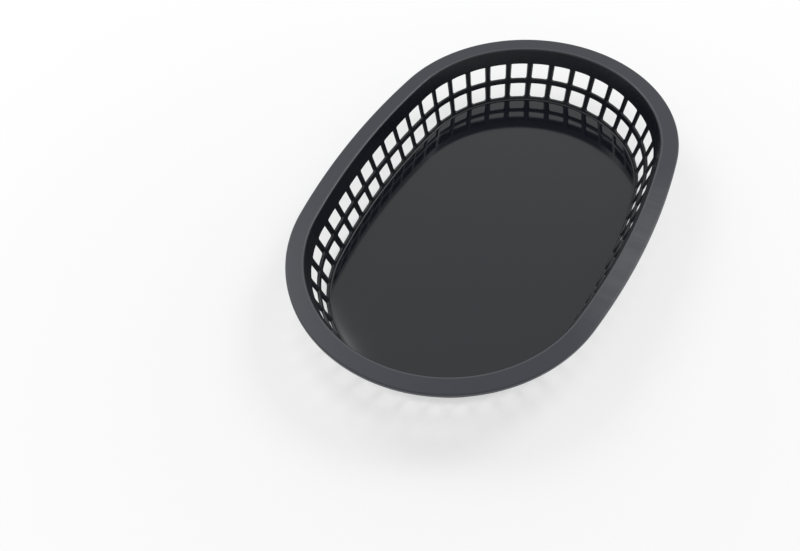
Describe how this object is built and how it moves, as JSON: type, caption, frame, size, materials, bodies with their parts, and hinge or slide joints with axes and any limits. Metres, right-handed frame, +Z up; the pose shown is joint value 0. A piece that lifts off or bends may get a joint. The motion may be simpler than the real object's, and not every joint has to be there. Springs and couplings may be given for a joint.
{
  "type": "fast food tray",
  "caption": "Oval serving tray with a flat floor, a sloping wall pierced by rows of nearly square windows, and a broad rim with a turned-down lip, for serving food by hand.",
  "frame": {"origin": "centre of the underside, on the surface that the tray stands on", "axes": "+X along the length, +Y across the width, +Z up out of the tray"},
  "size_m": [0.2666, 0.177, 0.0358],
  "materials": {
    "black_plastic": "moulded black plastic, polished inside and satin on the rim"
  },
  "bodies": {
    "root": {"tray": "black_plastic"}
  },
  "joints": []
}
